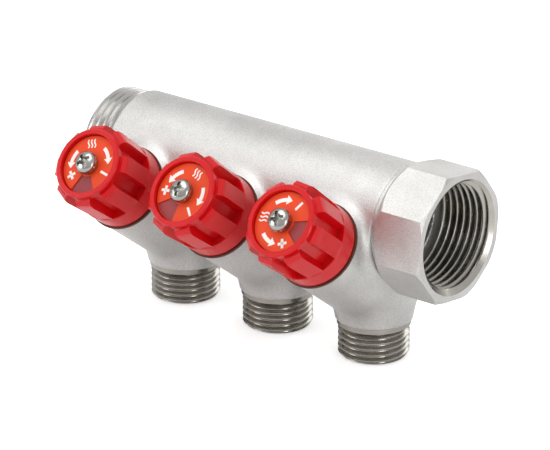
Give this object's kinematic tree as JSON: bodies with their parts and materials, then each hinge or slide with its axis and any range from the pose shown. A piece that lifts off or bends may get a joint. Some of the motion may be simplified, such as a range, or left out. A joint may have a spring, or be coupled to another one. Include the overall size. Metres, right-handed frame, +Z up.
{
  "type": "underfloor heating manifold",
  "caption": "Straight manifold bar with a threaded socket and spigot in line, male outlets pointing down and sloping hand valves with ribbed red caps.",
  "frame": {"origin": "centre of the female socket's end face, on the bar axis", "axes": "+X along the bar axis out of the socket, +Z up, outlets point to -Z, hand valves lean towards -Y and up"},
  "size_m": [0.1286, 0.067, 0.0635],
  "materials": {
    "cast_body": "nickel plated, shot-blasted satin",
    "brass_trim": "machined",
    "gasket_rubber": "matte",
    "bright_steel": "zinc plated",
    "handwheel_red": "gloss",
    "dial_red": "satin",
    "print_white": "pad print"
  },
  "bodies": {
    "manifold": {"manifold_body": "cast_body", "bonnet_1": "brass_trim", "bonnet_gasket_1": "gasket_rubber", "gland_oring_lower_1": "gasket_rubber", "gland_oring_upper_1": "gasket_rubber", "gland_bush_1": "brass_trim", "bonnet_2": "brass_trim", "bonnet_gasket_2": "gasket_rubber", "gland_oring_lower_2": "gasket_rubber", "gland_oring_upper_2": "gasket_rubber", "gland_bush_2": "brass_trim", "bonnet_3": "brass_trim", "bonnet_gasket_3": "gasket_rubber", "gland_oring_lower_3": "gasket_rubber", "gland_oring_upper_3": "gasket_rubber", "gland_bush_3": "brass_trim"},
    "plug_1": {"valve_plug_1": "brass_trim", "seat_washer_1": "gasket_rubber", "washer_screw_1": "bright_steel", "retaining_ring_1": "bright_steel"},
    "handwheel_set_1": {"spindle_1": "brass_trim", "handwheel_1": "handwheel_red", "dial_disc_1": "dial_red", "handle_washer_1": "bright_steel", "handle_screw_1": "bright_steel"},
    "plug_2": {"valve_plug_2": "brass_trim", "seat_washer_2": "gasket_rubber", "washer_screw_2": "bright_steel", "retaining_ring_2": "bright_steel"},
    "handwheel_set_2": {"spindle_2": "brass_trim", "handwheel_2": "handwheel_red", "dial_disc_2": "dial_red", "handle_washer_2": "bright_steel", "handle_screw_2": "bright_steel"},
    "plug_3": {"valve_plug_3": "brass_trim", "seat_washer_3": "gasket_rubber", "washer_screw_3": "bright_steel", "retaining_ring_3": "bright_steel"},
    "handwheel_set_3": {"spindle_3": "brass_trim", "handwheel_3": "handwheel_red", "dial_disc_3": "dial_red", "handle_washer_3": "bright_steel", "handle_screw_3": "bright_steel"}
  },
  "joints": [
    {"name": "valve_1_lift", "type": "slide", "parent": "manifold", "child": "plug_1", "axis": [0, -0.7986, 0.6018], "range_m": [0, 0.00525]},
    {"name": "valve_1_turn", "type": "hinge", "parent": "plug_1", "child": "handwheel_set_1", "pos_m": [-0.1034, -0.02995, 0.00147], "axis": [0, -0.7986, 0.6018], "range_deg": [0, 1260]},
    {"name": "valve_2_lift", "type": "slide", "parent": "manifold", "child": "plug_2", "axis": [0, -0.7986, 0.6018], "range_m": [0, 0.00525]},
    {"name": "valve_2_turn", "type": "hinge", "parent": "plug_2", "child": "handwheel_set_2", "pos_m": [-0.0674, -0.02995, 0.00147], "axis": [0, -0.7986, 0.6018], "range_deg": [0, 1260]},
    {"name": "valve_3_lift", "type": "slide", "parent": "manifold", "child": "plug_3", "axis": [0, -0.7986, 0.6018], "range_m": [0, 0.00525]},
    {"name": "valve_3_turn", "type": "hinge", "parent": "plug_3", "child": "handwheel_set_3", "pos_m": [-0.0314, -0.02995, 0.00147], "axis": [0, -0.7986, 0.6018], "range_deg": [0, 1260]}
  ],
  "couplings": [
    {"joint": "valve_1_turn", "follows": "valve_1_lift", "rad_per_m": 4188.8},
    {"joint": "valve_2_turn", "follows": "valve_2_lift", "rad_per_m": 4188.8},
    {"joint": "valve_3_turn", "follows": "valve_3_lift", "rad_per_m": 4188.8}
  ]
}
